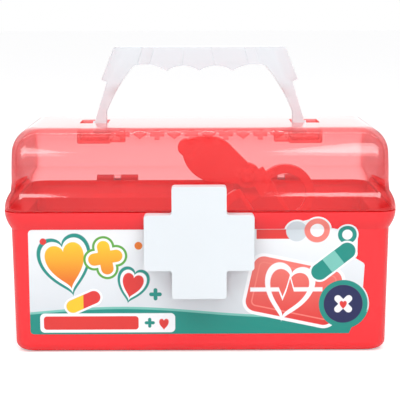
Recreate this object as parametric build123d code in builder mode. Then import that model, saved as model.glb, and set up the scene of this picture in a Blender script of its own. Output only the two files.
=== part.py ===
"""Toy doctor case: tub, see-through domed lid, carrying handle, cross latch, label, tray and tools.

Millimetres, +Z up. The origin is the middle of the tub's flat underside, -Y is the front with the
latch, and X runs along the case.
"""

import os
from math import cos, radians, sin, sqrt

from build123d import *

# ---- Driving dimensions ---------------------------------------------------------------------

# Rim: the widest outline of the case, where tub and lid meet
rim_width = 260.0
rim_depth = 150.0
rim_radius = 14.0
rim_height = 96.0
seam_gap = 0.4
flare_out = 4.3
flare_height = 12.0
wall = 2.2

# Tub
tub_draft = 1.2
bottom_round = 7.0
mould_seat = 0.1

# Lid
lid_height = 53.0
lid_side_round_x = 13.0
lid_side_round_z = 15.0
lid_front_round_y = 26.0
lid_front_round_z = 34.0
lid_lean = 0.6
lid_catch_width = 20.0
lid_catch_height = 2.0

# Rear hinge
hinge_offset = 63.2
hinge_reach = 5.0
knuckle_radius = 4.0
tub_knuckle_width = 13.0
lid_knuckle_width = 5.0
knuckle_side_gap = 0.35
hinge_pin_radius = 1.5
pin_clearance = 0.05

# Handle
handle_rise = 105.0
pivot_below_top = 4.5
leg_outer = 75.0
leg_width = 9.6
leg_lean = 10.0
leg_depth = 8.0
leg_straight = 11.0
hub_radius = 4.6
stub_radius = 2.8
stub_length = 9.0
grip_length = 92.0
grip_depth = 18.0
grip_height = 16.4
grip_step_drop = 22.5
grip_step_out = 3.6
grip_top_half = 60.0
scallop_depth = 3.6
end_hollow_rise = 4.4
end_hollow_peak = 0.55
arch_corner_rise = 3.4
arch_bow = 1.2
grip_round = 3.0

# Handle pockets in the lid
pocket_width = 19.8
pocket_length = 28.0
pocket_depth = 12.6
pocket_wall = 1.8
leg_side_gap = 1.6
boss_length = 11.0
boss_depth = 12.0

# Cross latch
cross_span = 74.0
cross_arm = 36.7
cross_thickness = 10.2
cross_below_rim = 18.6
cross_wall = 2.2
cross_corner = 2.0
cross_gap = 0.8
latch_axis_rise = 7.3
latch_axis_in = 3.6
latch_ear_radius = 3.6
latch_ear_width = 2.8
latch_ear_offset = 11.6
latch_rib_width = 2.6
latch_pin_radius = 1.5
latch_side_gap = 0.35
nib_height = 2.0

# Label
label_thickness = 0.3
label_seat = 0.05
label_left_margin = 16.3
label_right_margin = 21.2
label_bottom = 12.8
label_top_gap = 0.2
label_step_drop = 22.6
label_notch = 7.0
label_corner = 2.5
label_window_margin = 1.5

# Tray
tray_gap = 1.6
tray_wall = 1.8
deck_below_rim = 34.0
collar_wall = 1.6
collar_height = 2.0
tool_gap = 0.5

# Scissors
scissors_x = 34.0
scissors_above_rim = 14.0
head_angle = 155.0
grip_angle = -58.7
half_thickness = 3.4
half_gap = 0.3
head_length = 54.0
head_half_width = 15.8
head_tip = 6.0
head_neck = 7.0
shoulder_along = 18.0
shoulder_half = 13.6
widest_along = 30.0
scissors_boss_radius = 9.0
bow_radius = 21.0
bow_band = 6.3
bow_along = 25.0
bow_across = 16.0
bow_bar_start = 9.3
bow_bar_width = 3.4
shank_length = 18.0
shank_width = 12.7
rivet_radius = 3.0
rivet_head_radius = 5.0
rivet_head_height = 1.3
slot_rise = 9.0

# Standing tools, placed from the tray's nearest end and long side
hammer_from_end = 34.7
hammer_from_back = 35.7
hammer_handle_radius = 4.5
hammer_head_radius = 7.0
hammer_head_length = 36.0
hammer_chamfer = 1.8
otoscope_from_end = 70.7
otoscope_from_front = 43.7
otoscope_handle_radius = 7.5
otoscope_head_radius = 10.0
otoscope_head_height = 15.0
otoscope_round = 4.0
cone_length = 20.0
cone_base_radius = 6.5
cone_tip_radius = 2.6
thermometer_from_end = 22.7
thermometer_from_front = 31.7
thermometer_width = 18.0
thermometer_depth = 7.0
thermometer_above_deck = 18.0
thermometer_face_depth = 0.8
mirror_from_end = 22.7
mirror_from_front = 35.7
mirror_handle_radius = 3.6
mirror_head_radius = 11.0
mirror_head_depth = 5.0
mirror_glass_radius = 8.6
mirror_glass_depth = 1.0

# ---- Derived places -------------------------------------------------------------------------

tub_top = rim_height - seam_gap / 2
lid_bottom = rim_height + seam_gap / 2
wall_top = tub_top - flare_height
dome_bottom = lid_bottom + flare_height
lid_top = rim_height + lid_height
floor_top = wall

hinge_y = rim_depth / 2 + hinge_reach
hinge_pitch = (tub_knuckle_width + lid_knuckle_width) / 2 + knuckle_side_gap

handle_top = rim_height + handle_rise
pivot_z = lid_top - pivot_below_top
grip_bottom = handle_top - grip_height
leg_top_z = handle_top - grip_step_drop - grip_step_out / 2
step_outer = leg_outer - leg_lean + grip_step_out
pocket_inner_x = leg_outer - leg_width - leg_side_gap
pocket_mid_x = pocket_inner_x + pocket_width / 2

cross_back = -(rim_depth / 2 + cross_gap)
cross_front = cross_back - cross_thickness
cross_height = rim_height - cross_below_rim
latch_y = cross_back - latch_axis_in
latch_z = cross_height - cross_span / 2 + latch_axis_rise

tray_width = rim_width - 2 * (flare_out + tub_draft + wall + tray_gap)
tray_depth = rim_depth - 2 * (flare_out + tub_draft + wall + tray_gap)
tray_bottom = floor_top + mould_seat
tool_foot = floor_top + mould_seat
deck_height = rim_height - deck_below_rim

label_left = rim_width / 2 - label_left_margin
label_right = rim_width / 2 - label_right_margin
label_top = wall_top - label_top_gap
label_step = label_top - label_step_drop

scissors_z = rim_height + scissors_above_rim
hammer_x = hammer_from_end - tray_width / 2
hammer_y = tray_depth / 2 - hammer_from_back
otoscope_x = otoscope_from_end - tray_width / 2
otoscope_y = otoscope_from_front - tray_depth / 2
thermometer_x = thermometer_from_end - tray_width / 2
thermometer_y = thermometer_from_front - tray_depth / 2
thermometer_height = deck_height + thermometer_above_deck
mirror_x = tray_width / 2 - mirror_from_end
mirror_y = mirror_from_front - tray_depth / 2


def outline(z, inset_x, inset_y, radius):
    """Rounded rectangle at height z: the rim's outline, pulled in by an inset along X and Y."""
    with BuildSketch(Plane.XY.offset(z)) as section:
        RectangleRounded(rim_width - 2 * inset_x, rim_depth - 2 * inset_y, radius)
    return section.sketch


def flare_sections(z_rim, direction):
    """Sections of the convex flare that runs from the rim in to the wall, up or down."""
    sections = []
    for step in (0.0, 0.25, 0.5, 0.75, 1.0):
        inset = flare_out * step**2
        sections.append(outline(z_rim + direction * flare_height * step, inset, inset, rim_radius - inset))
    return sections


# ---- Tub: one red moulding, with the hinge knuckles behind and the latch ears in front --------

wall_radius = rim_radius - flare_out
base_inset = flare_out + tub_draft
base_radius = wall_radius - tub_draft


def tub_inset(z):
    """How far the drafted wall stands inside the rim at height z."""
    return flare_out + tub_draft * (wall_top - z) / (wall_top - bottom_round)


with BuildPart() as tub:
    bottom_sections = []
    for turn in (0.0, 22.5, 45.0, 67.5, 90.0):
        corner_inset = base_inset + bottom_round * (1 - sin(radians(turn)))
        corner_z = bottom_round * (1 - cos(radians(turn)))
        bottom_sections.append(outline(corner_z, corner_inset, corner_inset, base_radius))
    loft(bottom_sections, ruled=True)
    loft([outline(bottom_round, base_inset, base_inset, base_radius),
          outline(wall_top, flare_out, flare_out, wall_radius)])
    loft(flare_sections(tub_top, -1), ruled=True)

    for side in (-1, 1):
        for step in (-1, 1):
            with BuildSketch(Plane.YZ.offset(side * hinge_offset + step * hinge_pitch)):
                with Locations((hinge_y, rim_height)):
                    Circle(knuckle_radius)
                with BuildLine():
                    Polyline((hinge_y, rim_height - knuckle_radius), (hinge_y, tub_top),
                             (rim_depth / 2 - 2 * wall, tub_top),
                             (rim_depth / 2 - flare_out, wall_top), close=True)
                make_face()
            extrude(amount=tub_knuckle_width / 2, both=True)

    ear_root = -rim_depth / 2 + tub_inset(latch_z) + wall / 2
    for side in (-1, 1):
        with BuildSketch(Plane.YZ.offset(side * latch_ear_offset)):
            with Locations((latch_y, latch_z)):
                Circle(latch_ear_radius)
            with Locations(((latch_y + ear_root) / 2, latch_z)):
                Rectangle(ear_root - latch_y, 2 * latch_ear_radius)
        extrude(amount=latch_ear_width / 2, both=True)

    floor_inset = base_inset + bottom_round / 2
    loft([outline(floor_top, floor_inset, floor_inset, base_radius - wall),
          outline(bottom_round, base_inset + wall, base_inset + wall, base_radius - wall)],
         mode=Mode.SUBTRACT)
    loft([outline(bottom_round, base_inset + wall, base_inset + wall, base_radius - wall),
          outline(wall_top, flare_out + wall, flare_out + wall, wall_radius - wall)],
         mode=Mode.SUBTRACT)
    extrude(outline(wall_top, flare_out + wall, flare_out + wall, wall_radius - wall),
            amount=flare_height, dir=(0, 0, 1), mode=Mode.SUBTRACT)

    for side in (-1, 1):
        with Locations(Plane(origin=(side * hinge_offset, hinge_y, rim_height), z_dir=(1, 0, 0))):
            Cylinder(hinge_pin_radius + pin_clearance, 4 * hinge_pitch, mode=Mode.SUBTRACT)
    with Locations(Plane(origin=(0, latch_y, latch_z), z_dir=(1, 0, 0))):
        Cylinder(latch_pin_radius + pin_clearance, cross_arm, mode=Mode.SUBTRACT)
tub.part.label = "tub"

# ---- Lid: one see-through moulding, with two pockets for the handle's legs --------------------


def dome_sections(thickness):
    """Sections of the lid's dome from the flare up; thickness pulls them in for the hollow."""
    top = lid_top - thickness
    sections = [outline(dome_bottom, flare_out + thickness, flare_out + thickness, wall_radius - thickness)]
    for turn in (0.0, 15.0, 29.0, 41.0, 52.0, 62.0, 71.0, 79.0, 90.0):
        rise = lid_front_round_z * sin(radians(turn))
        z = top - lid_front_round_z + rise
        above_side = max(0.0, z - (top - lid_side_round_z)) / lid_side_round_z
        side_in = lid_lean + lid_side_round_x * (1 - sqrt(max(0.0, 1 - above_side**2)))
        front_in = lid_lean + lid_front_round_y * (1 - cos(radians(turn)))
        sections.append(outline(z, flare_out + thickness + side_in, flare_out + thickness + front_in,
                                wall_radius - thickness))
    return sections


with BuildPart() as lid:
    loft(flare_sections(lid_bottom, 1), ruled=True)
    loft(dome_sections(0.0), ruled=True)
    loft(dome_sections(wall), ruled=True, mode=Mode.SUBTRACT)
    extrude(outline(dome_bottom, flare_out + wall, flare_out + wall, wall_radius - wall),
            amount=flare_height, dir=(0, 0, -1), mode=Mode.SUBTRACT)

    for side in (-1, 1):
        pocket_top = lid_top - wall / 2
        pocket_floor = lid_top - pocket_depth - pocket_wall
        with Locations((side * pocket_mid_x, 0, pocket_floor)):
            Box(pocket_width + 2 * pocket_wall, pocket_length + 2 * pocket_wall, pocket_top - pocket_floor,
                align=(Align.CENTER, Align.CENTER, Align.MIN))
        with Locations((side * (pocket_inner_x - boss_length / 2), 0, pocket_floor)):
            Box(boss_length, boss_depth, pocket_top - pocket_floor,
                align=(Align.CENTER, Align.CENTER, Align.MIN))
        with Locations((side * pocket_mid_x, 0, lid_top - pocket_depth)):
            Box(pocket_width, pocket_length, 2 * pocket_depth,
                align=(Align.CENTER, Align.CENTER, Align.MIN), mode=Mode.SUBTRACT)
        bore_length = stub_length + leg_side_gap
        with Locations(Plane(origin=(side * (pocket_inner_x - bore_length / 2 + leg_side_gap), 0, pivot_z),
                             z_dir=(1, 0, 0))):
            Cylinder(stub_radius + pin_clearance, bore_length, mode=Mode.SUBTRACT)

        with BuildSketch(Plane.YZ.offset(side * hinge_offset)):
            with Locations((hinge_y, rim_height)):
                Circle(knuckle_radius)
            with BuildLine():
                Polyline((hinge_y, rim_height + knuckle_radius), (hinge_y, lid_bottom),
                         (rim_depth / 2 - 2 * wall, lid_bottom),
                         (rim_depth / 2 - 2 * wall, rim_height + knuckle_radius), close=True)
            make_face()
        extrude(amount=lid_knuckle_width / 2, both=True)
        with Locations(Plane(origin=(side * hinge_offset, hinge_y, rim_height), z_dir=(1, 0, 0))):
            Cylinder(hinge_pin_radius + pin_clearance, 4 * hinge_pitch, mode=Mode.SUBTRACT)

    catch_reach = flare_out + wall / 2
    with Locations((0, -rim_depth / 2 + catch_reach / 2, dome_bottom)):
        Box(lid_catch_width, catch_reach, lid_catch_height,
            align=(Align.CENTER, Align.CENTER, Align.MAX))
lid.part.label = "lid"

# ---- Rear hinge pins: steel wire, one through each group of knuckles --------------------------

pin_length = 2 * tub_knuckle_width + lid_knuckle_width + 2 * knuckle_side_gap
hinge_pins = []
for side, name in ((-1, "hinge_pin_left"), (1, "hinge_pin_right")):
    with BuildPart() as hinge_pin:
        with Locations(Plane(origin=(side * hinge_offset, hinge_y, rim_height), z_dir=(1, 0, 0))):
            Cylinder(hinge_pin_radius, pin_length)
    hinge_pin.part.label = name
    hinge_pins.append(hinge_pin)

# ---- Handle: white moulding, two leaning legs, finger hollows under the grip, stubs inwards ----

leg_inner = leg_outer - leg_width
hollow_pitch = grip_length / 4
arch_foot = pivot_z + leg_straight
arch_corner = grip_bottom + arch_corner_rise
with BuildPart() as handle:
    with BuildSketch(Plane.XZ) as handle_side:
        with BuildLine() as half_outline:
            Polyline((leg_inner, pivot_z), (leg_outer, pivot_z), (leg_outer - leg_lean, leg_top_z),
                     (step_outer, handle_top - grip_step_drop), (grip_top_half, handle_top), (0, handle_top),
                     (0, grip_bottom))
            ThreePointArc((0, grip_bottom), (hollow_pitch / 2, grip_bottom + scallop_depth),
                          (hollow_pitch, grip_bottom))
            ThreePointArc((hollow_pitch, grip_bottom),
                          ((1 + end_hollow_peak) * hollow_pitch, grip_bottom + end_hollow_rise),
                          (2 * hollow_pitch, arch_corner))
            ThreePointArc((2 * hollow_pitch, arch_corner),
                          ((2 * hollow_pitch + leg_inner) / 2 + arch_bow, (arch_corner + arch_foot) / 2 + arch_bow),
                          (leg_inner, arch_foot))
            Line((leg_inner, arch_foot), (leg_inner, pivot_z))
        make_face()
        mirror(about=Plane.YZ)
    extrude(amount=grip_depth / 2, both=True)
    with Locations(*[(0, side * grip_depth / 2, pivot_z) for side in (-1, 1)]):
        Box(2 * leg_outer, grip_depth - leg_depth, 2 * (leg_top_z - pivot_z), mode=Mode.SUBTRACT)
    fillet(handle.edges().filter_by(Axis.X).group_by(Axis.Z)[-1], grip_round)
    for side in (-1, 1):
        with Locations(Plane(origin=(side * (leg_outer - leg_width / 2), 0, pivot_z), z_dir=(1, 0, 0))):
            Cylinder(hub_radius, leg_width)
        with Locations(Plane(origin=(side * (leg_inner - stub_length / 2), 0, pivot_z), z_dir=(1, 0, 0))):
            Cylinder(stub_radius, stub_length)
handle.part.label = "handle"

# ---- Cross latch: hollow white moulding that swings on a pin through the tub's ears ------------


def cross(span, arm, corner):
    """Greek cross outline centred on the latch, seen from the front."""
    with BuildSketch(Plane.XZ.offset(-cross_back)) as shape:
        with Locations((0, cross_height)):
            Rectangle(span, arm)
            Rectangle(arm, span)
        fillet([v for v in shape.vertices()
                if max(abs(v.X), abs(v.Z - cross_height)) > span / 2 - corner], corner)
    return shape.sketch


with BuildPart() as cross_latch:
    extrude(cross(cross_span, cross_arm, cross_corner), amount=cross_thickness, dir=(0, -1, 0))
    extrude(cross(cross_span - 2 * cross_wall, cross_arm - 2 * cross_wall, cross_corner / 2),
            amount=cross_thickness - cross_wall, dir=(0, -1, 0), mode=Mode.SUBTRACT)
    rib_offset = latch_ear_offset + latch_ear_width / 2 + latch_side_gap + latch_rib_width / 2
    for side in (-1, 1):
        with BuildSketch(Plane.YZ.offset(side * rib_offset)):
            with Locations((latch_y, latch_z)):
                Circle(latch_ear_radius)
            with Locations(((latch_y + cross_front + cross_wall / 2) / 2, latch_z)):
                Rectangle(latch_y - cross_front - cross_wall / 2, 2 * latch_ear_radius)
        extrude(amount=latch_rib_width / 2, both=True)
    nib_length = cross_thickness - cross_wall / 2
    with Locations((0, cross_back - nib_length / 2, dome_bottom + latch_side_gap)):
        Box(lid_catch_width, nib_length, nib_height, align=(Align.CENTER, Align.CENTER, Align.MIN))
    with Locations(*[(side * latch_ear_offset, cross_back, cross_height - cross_span / 2) for side in (-1, 1)]):
        Box(latch_ear_width + 2 * latch_side_gap, 2 * (cross_thickness - cross_wall), 2 * cross_wall,
            mode=Mode.SUBTRACT)
    with Locations(Plane(origin=(0, latch_y, latch_z), z_dir=(1, 0, 0))):
        Cylinder(latch_pin_radius + pin_clearance, 2 * rib_offset + latch_rib_width, mode=Mode.SUBTRACT)
cross_latch.part.label = "cross_latch"

with BuildPart() as latch_pin:
    with Locations(Plane(origin=(0, latch_y, latch_z), z_dir=(1, 0, 0))):
        Cylinder(latch_pin_radius, 2 * rib_offset + latch_rib_width - 2 * pin_clearance)
latch_pin.part.label = "latch_pin"

# ---- Front label: die-cut printed sticker on the tub's drafted front wall ----------------------

wall_slope = tub_draft / (wall_top - bottom_round)
label_plane = Plane(origin=(0, -rim_depth / 2 + tub_inset(0.0) - label_seat, 0), x_dir=(1, 0, 0),
                    z_dir=(0, -1, -wall_slope))
with BuildPart() as front_label:
    with BuildSketch(label_plane) as label_shape:
        with BuildLine():
            Polyline((-label_left, label_bottom), (label_right, label_bottom),
                     (label_right, label_step), (label_right - label_notch, label_step + label_notch),
                     (label_right - label_notch, label_top), (-label_left, label_top), close=True)
        make_face()
        fillet(label_shape.vertices(), label_corner)
        with Locations((0, latch_z)):
            Rectangle(2 * (latch_ear_offset + latch_ear_width) + label_window_margin,
                      2 * (latch_ear_radius + label_window_margin), mode=Mode.SUBTRACT)
    extrude(amount=label_thickness)
front_label.part.label = "front_label"

# ---- Scissors: two red halves with a leaf-shaped blunt head set at an angle to the bows ---------


def from_rivet(along, across, angle):
    """Point in the scissors' plane, measured along and across an axis that leaves the rivet at angle."""
    turn = radians(angle)
    return (scissors_x + along * cos(turn) - across * sin(turn),
            scissors_z + along * sin(turn) + across * cos(turn))


bow_thickness = 2 * half_thickness + half_gap
halves = {}
for side, name in ((1, "scissors_half_front"), (-1, "scissors_half_rear")):
    layer = Plane.XZ.offset(side * half_gap / 2)
    bow_centre = from_rivet(bow_along, side * bow_across, grip_angle)
    with BuildPart() as half:
        with BuildSketch(layer):
            with BuildLine():
                for flank in (1, -1):
                    Line(from_rivet(0, flank * head_neck, head_angle),
                         from_rivet(shoulder_along, flank * shoulder_half, head_angle))
                    ThreePointArc(from_rivet(shoulder_along, flank * shoulder_half, head_angle),
                                  from_rivet(widest_along, flank * head_half_width, head_angle),
                                  from_rivet(head_length - head_tip, flank * head_tip, head_angle))
                ThreePointArc(from_rivet(head_length - head_tip, head_tip, head_angle),
                              from_rivet(head_length, 0, head_angle),
                              from_rivet(head_length - head_tip, -head_tip, head_angle))
                Line(from_rivet(0, -head_neck, head_angle), from_rivet(0, head_neck, head_angle))
            make_face()
            with Locations((scissors_x, scissors_z)):
                Circle(scissors_boss_radius)
            with Locations(from_rivet(shank_length / 2, side * shank_width / 2, grip_angle)):
                Rectangle(shank_length, shank_width, rotation=grip_angle)
        extrude(amount=side * half_thickness)
        for radius, bar_edge, mode in ((bow_radius, bow_bar_start, Mode.ADD),
                                       (bow_radius - bow_band, bow_bar_start + bow_bar_width, Mode.SUBTRACT)):
            with BuildSketch(Plane.XZ.offset(-bow_thickness / 2)):
                with Locations(bow_centre):
                    Circle(radius)
                with Locations(from_rivet(bow_along, side * (bar_edge - bow_radius), grip_angle)):
                    Rectangle(2 * bow_radius, 2 * bow_radius, rotation=grip_angle, mode=Mode.SUBTRACT)
            extrude(amount=bow_thickness, mode=mode)
        with Locations(Plane(origin=(scissors_x, 0, scissors_z), z_dir=(0, 1, 0))):
            Cylinder(rivet_radius + pin_clearance, 2 * bow_thickness, mode=Mode.SUBTRACT)
    half.part.label = name
    halves[name] = half

with BuildPart() as scissors_rivet:
    with Locations(Plane(origin=(scissors_x, 0, scissors_z), z_dir=(0, 1, 0))):
        Cylinder(rivet_radius, bow_thickness + 2 * (half_gap + rivet_head_height))
        for side in (-1, 1):
            with Locations((0, 0, side * (bow_thickness / 2 + half_gap + rivet_head_height / 2))):
                Cylinder(rivet_head_radius, rivet_head_height)
scissors_rivet.part.label = "scissors_rivet"

# ---- Tray: red moulded deck on a skirt, with collared holes that the tools stand in ------------

slot_floor = from_rivet(bow_along, -bow_across, grip_angle)[1] - bow_radius - tool_gap
slot_x = from_rivet(bow_along, -bow_across, grip_angle)[0]
slot_width = 2 * sqrt(bow_radius**2 - (bow_radius - slot_rise) ** 2) + 2 * tool_gap
slot_depth = bow_thickness + 2 * tool_gap
round_holes = ((hammer_x, hammer_y, hammer_handle_radius), (otoscope_x, otoscope_y, otoscope_handle_radius),
               (mirror_x, mirror_y, mirror_handle_radius))
slot_holes = ((thermometer_x, thermometer_y, thermometer_width + 2 * tool_gap,
               thermometer_depth + 2 * tool_gap),)

with BuildPart() as tool_tray:
    with BuildSketch(Plane.XY.offset(tray_bottom)):
        RectangleRounded(tray_width, tray_depth, base_radius)
    extrude(amount=deck_height - tray_bottom)
    with BuildSketch(Plane.XY.offset(tray_bottom)):
        RectangleRounded(tray_width - 2 * tray_wall, tray_depth - 2 * tray_wall, base_radius - tray_wall)
    extrude(amount=deck_height - tray_wall - tray_bottom, mode=Mode.SUBTRACT)
    for grow, lift, mode in ((tool_gap + collar_wall, collar_height, Mode.ADD),
                             (tool_gap, 2 * collar_height, Mode.SUBTRACT)):
        with BuildSketch(Plane.XY.offset(deck_height - tray_wall)):
            for x, y, radius in round_holes:
                with Locations((x, y)):
                    Circle(radius + grow)
            for x, y, width, depth in slot_holes:
                with Locations((x, y)):
                    Rectangle(width + 2 * (grow - tool_gap), depth + 2 * (grow - tool_gap))
        extrude(amount=tray_wall + lift, mode=mode)
    with Locations((slot_x, 0, slot_floor - tray_wall)):
        Box(slot_width + 2 * collar_wall, slot_depth + 2 * collar_wall, slot_rise + tray_wall,
            align=(Align.CENTER, Align.CENTER, Align.MIN))
    with Locations((slot_x, 0, slot_floor)):
        Box(slot_width, slot_depth, 2 * slot_rise, align=(Align.CENTER, Align.CENTER, Align.MIN),
            mode=Mode.SUBTRACT)
tool_tray.part.label = "tool_tray"

# ---- Reflex hammer: yellow handle, soft head across its top ------------------------------------

tool_seat = deck_height + collar_height + mould_seat
hammer_axis_z = tool_seat + hammer_head_radius
with BuildPart() as hammer_handle:
    with Locations((hammer_x, hammer_y, tool_foot)):
        Cylinder(hammer_handle_radius, hammer_axis_z - tool_foot, align=(Align.CENTER, Align.CENTER, Align.MIN))
hammer_handle.part.label = "hammer_handle"

with BuildPart() as hammer_head:
    with Locations(Plane(origin=(hammer_x, hammer_y, hammer_axis_z), z_dir=(1, 0, 0))):
        Cylinder(hammer_head_radius, hammer_head_length)
    chamfer(hammer_head.edges().filter_by(GeomType.CIRCLE), hammer_chamfer)
    with Locations((hammer_x, hammer_y, tool_foot)):
        Cylinder(hammer_handle_radius + pin_clearance, hammer_axis_z + pin_clearance - tool_foot,
                 align=(Align.CENTER, Align.CENTER, Align.MIN), mode=Mode.SUBTRACT)
hammer_head.part.label = "hammer_head"

# ---- Otoscope: round handle and head, with a viewing cone pressed into its front ---------------

cone_z = tool_seat + otoscope_head_height / 2
cone_spigot_radius = cone_base_radius / 2
cone_face_y = otoscope_y - otoscope_head_radius - mould_seat
with BuildPart() as otoscope_body:
    with Locations((otoscope_x, otoscope_y, tool_foot)):
        Cylinder(otoscope_handle_radius, tool_seat - tool_foot + wall,
                 align=(Align.CENTER, Align.CENTER, Align.MIN))
    with Locations((otoscope_x, otoscope_y, tool_seat)):
        Cylinder(otoscope_head_radius, otoscope_head_height, align=(Align.CENTER, Align.CENTER, Align.MIN))
    fillet(otoscope_body.edges().filter_by(GeomType.CIRCLE).group_by(Axis.Z)[-1], otoscope_round)
    with Locations(Plane(origin=(otoscope_x, cone_face_y, cone_z), z_dir=(0, 1, 0))):
        Cylinder(cone_spigot_radius + pin_clearance, otoscope_head_radius, mode=Mode.SUBTRACT)
otoscope_body.part.label = "otoscope_body"

with BuildPart() as otoscope_cone:
    with BuildSketch(Plane(origin=(otoscope_x, cone_face_y, cone_z), z_dir=(0, -1, 0))):
        Circle(cone_base_radius)
    with BuildSketch(Plane(origin=(otoscope_x, cone_face_y - cone_length, cone_z), z_dir=(0, -1, 0))):
        Circle(cone_tip_radius)
    loft()
    with Locations(Plane(origin=(otoscope_x, cone_face_y, cone_z), z_dir=(0, 1, 0))):
        Cylinder(cone_spigot_radius, otoscope_head_radius / 2 - mould_seat,
                 align=(Align.CENTER, Align.CENTER, Align.MIN))
otoscope_cone.part.label = "otoscope_cone"

# ---- Thermometer: flat body that stands in its slot, with a dial plate in its face -------------

dial_width = thermometer_width - 2 * tray_wall
dial_height = thermometer_height - tool_seat - 2 * tray_wall
thermometer_front = thermometer_y - thermometer_depth / 2
dial_z = tool_seat + tray_wall + dial_height / 2
with BuildPart() as thermometer_body:
    with Locations((thermometer_x, thermometer_y, tool_foot)):
        Box(thermometer_width, thermometer_depth, thermometer_height - tool_foot,
            align=(Align.CENTER, Align.CENTER, Align.MIN))
    fillet(thermometer_body.edges().filter_by(Axis.Y).group_by(Axis.Z)[-1], thermometer_depth / 2)
    with Locations((thermometer_x, thermometer_front, dial_z)):
        Box(dial_width, 2 * thermometer_face_depth, dial_height, mode=Mode.SUBTRACT)
thermometer_body.part.label = "thermometer_body"

with BuildPart() as thermometer_dial:
    with Locations((thermometer_x, thermometer_front + thermometer_face_depth / 2 - label_seat / 2, dial_z)):
        Box(dial_width - 2 * pin_clearance, thermometer_face_depth - label_seat,
            dial_height - 2 * pin_clearance)
thermometer_dial.part.label = "thermometer_dial"

# ---- Mirror: round head on a thin handle, with a bright disc in its face -----------------------

mirror_axis_z = tool_seat + mirror_head_radius
mirror_front = mirror_y - mirror_head_depth / 2
with BuildPart() as mirror_frame:
    with Locations((mirror_x, mirror_y, tool_foot)):
        Cylinder(mirror_handle_radius, tool_seat - tool_foot + mirror_head_radius / 4,
                 align=(Align.CENTER, Align.CENTER, Align.MIN))
    with Locations(Plane(origin=(mirror_x, mirror_y, mirror_axis_z), z_dir=(0, 1, 0))):
        Cylinder(mirror_head_radius, mirror_head_depth)
    with Locations(Plane(origin=(mirror_x, mirror_front, mirror_axis_z), z_dir=(0, 1, 0))):
        Cylinder(mirror_glass_radius + pin_clearance, 2 * mirror_glass_depth, mode=Mode.SUBTRACT)
mirror_frame.part.label = "mirror_frame"

with BuildPart() as mirror_glass:
    with Locations(Plane(origin=(mirror_x, mirror_front + mirror_glass_depth / 2 - label_seat / 2,
                                 mirror_axis_z), z_dir=(0, 1, 0))):
        Cylinder(mirror_glass_radius, mirror_glass_depth - label_seat)
mirror_glass.part.label = "mirror_glass"

# ---- One STEP file for each piece ---------------------------------------------------------------

pieces = [tub, lid, *hinge_pins, handle, cross_latch, latch_pin, front_label, tool_tray, *halves.values(),
          scissors_rivet, hammer_handle, hammer_head, otoscope_body, otoscope_cone, thermometer_body,
          thermometer_dial, mirror_frame, mirror_glass]
os.makedirs("parts", exist_ok=True)
for piece in pieces:
    export_step(piece.part, f"parts/{piece.part.label}.step")
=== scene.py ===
"""Looks of a toy doctor case: tub, see-through lid, handle, cross latch, label and instruments.

Named sizes and places are in millimetres, and mm turns them into Blender's metres.
"""
from math import cos, hypot, pi, radians, sin

import bmesh
import bpy
from mathutils import Matrix, Vector


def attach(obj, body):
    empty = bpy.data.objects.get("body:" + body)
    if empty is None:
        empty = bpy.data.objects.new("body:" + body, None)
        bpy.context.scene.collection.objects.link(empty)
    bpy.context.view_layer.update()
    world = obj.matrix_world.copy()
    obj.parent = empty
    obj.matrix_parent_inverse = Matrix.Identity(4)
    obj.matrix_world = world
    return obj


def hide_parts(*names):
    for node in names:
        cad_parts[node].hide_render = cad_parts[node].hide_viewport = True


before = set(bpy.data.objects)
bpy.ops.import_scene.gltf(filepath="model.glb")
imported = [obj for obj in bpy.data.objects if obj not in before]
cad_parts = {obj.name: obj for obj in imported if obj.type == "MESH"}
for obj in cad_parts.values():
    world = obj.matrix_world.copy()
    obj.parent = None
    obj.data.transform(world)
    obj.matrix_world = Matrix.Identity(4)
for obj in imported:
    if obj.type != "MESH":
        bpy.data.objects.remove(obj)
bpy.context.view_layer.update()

mm = 0.001

# ---- Camera ---------------------------------------------------------------------------------
# A small studio camera on a tripod, a little under a metre in front of the case. It stands just
# above the handle and looks down by nine degrees, on a long lens.


def placed(name, data):
    """A new object in the scene."""
    made = bpy.data.objects.new(name, data)
    bpy.context.scene.collection.objects.link(made)
    return made


lens = bpy.data.cameras.new("studio camera")
lens.lens = 114.8
lens.sensor_width = 36.0
camera = placed("studio camera", lens)
camera_place = Vector((-4.2, -898.7, 233.1)) * mm
look_down, look_round, roll = radians(8.90), radians(-0.275), radians(-0.16)
camera.matrix_world = (Matrix.Translation(camera_place) @ Matrix.Rotation(look_round, 4, "Z")
                       @ Matrix.Rotation(pi / 2 - look_down, 4, "X") @ Matrix.Rotation(roll, 4, "Z"))
bpy.context.scene.camera = camera
bpy.context.scene.view_settings.view_transform = "Standard"

# ---- Studio ---------------------------------------------------------------------------------
# A white paper floor that runs out past the view, a pale room all round it, and soft boxes on
# stands. The paper glows a little, so that it is white where the case throws no shadow on it.


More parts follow.
